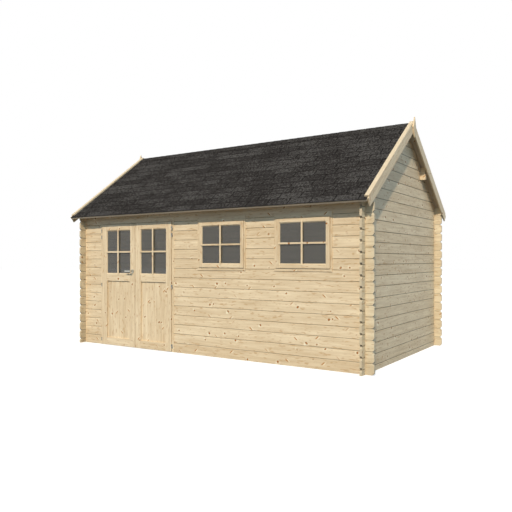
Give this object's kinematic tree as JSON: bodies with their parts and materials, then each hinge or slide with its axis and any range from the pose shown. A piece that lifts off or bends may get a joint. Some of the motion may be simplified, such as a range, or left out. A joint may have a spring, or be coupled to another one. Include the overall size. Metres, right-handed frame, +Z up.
{
  "type": "garden shed",
  "caption": "Log garden shed with interlocked corners, a shingled saddle roof, a glazed double door and sash windows, hollow inside and standing on the ground.",
  "frame": {"origin": "ground level at the middle of the plan", "axes": "+X along the ridge, to the right seen from the door side; the door side faces -Y; +Z up"},
  "size_m": [5.05, 3.2128, 3.2282],
  "materials": {
    "log_wood": "planed untreated spruce, pale with small knots",
    "joinery_wood": "planed untreated spruce, smooth",
    "roof_wood": "planed tongue and groove spruce boards",
    "roof_shingle": "bitumen shingles with dark mineral granules",
    "pane_glass": "clear glazing over a dark room",
    "zinc_steel": "zinc plated steel",
    "handle_metal": "satin silver metal"
  },
  "bodies": {
    "shed": {"front_wall_left": "log_wood", "front_wall_over_door": "log_wood", "front_wall_base": "log_wood", "front_wall_piers": "log_wood", "front_wall_top": "log_wood", "back_wall": "log_wood", "left_gable_wall": "log_wood", "right_gable_wall": "log_wood", "door_jambs": "joinery_wood", "door_head": "joinery_wood", "left_hinge_frame_halves": "zinc_steel", "right_hinge_frame_halves": "zinc_steel", "left_window_frame": "joinery_wood", "left_window_sash": "joinery_wood", "left_window_glass": "pane_glass", "right_window_frame": "joinery_wood", "right_window_sash": "joinery_wood", "right_window_glass": "pane_glass", "front_roof_boards": "roof_wood", "back_roof_boards": "roof_wood", "front_shingles": "roof_shingle", "back_shingles": "roof_shingle", "ridge_cap": "roof_shingle", "front_bargeboards": "joinery_wood", "back_bargeboards": "joinery_wood", "front_cap_strips": "joinery_wood", "back_cap_strips": "joinery_wood", "left_finial": "joinery_wood", "right_finial": "joinery_wood", "ridge_purlin": "roof_wood", "front_purlin": "roof_wood", "back_purlin": "roof_wood"},
    "left_leaf": {"left_leaf_frame": "joinery_wood", "left_leaf_panel": "joinery_wood", "left_leaf_glass": "pane_glass", "left_hinge_leaf_halves": "zinc_steel", "handle_roses": "handle_metal"},
    "right_leaf": {"right_leaf_frame": "joinery_wood", "right_leaf_panel": "joinery_wood", "right_leaf_glass": "pane_glass", "right_hinge_leaf_halves": "zinc_steel"},
    "lever": {"lever_handle": "handle_metal"}
  },
  "joints": [
    {"name": "left_leaf_swing", "type": "hinge", "parent": "shed", "child": "left_leaf", "pos_m": [-1.9735, -1.4105, 0.931], "axis": [0, 0, -1], "range_deg": [0, 150]},
    {"name": "right_leaf_swing", "type": "hinge", "parent": "shed", "child": "right_leaf", "pos_m": [-0.5245, -1.4105, 0.931], "axis": [0, 0, 1], "range_deg": [0, 150]},
    {"name": "lever_turn", "type": "hinge", "parent": "left_leaf", "child": "lever", "pos_m": [-1.296, -1.396, 1.149], "axis": [0, -1, 0], "range_deg": [0, 45], "stiffness_Nm_per_rad": 1.2, "springref_deg": -28.65}
  ]
}
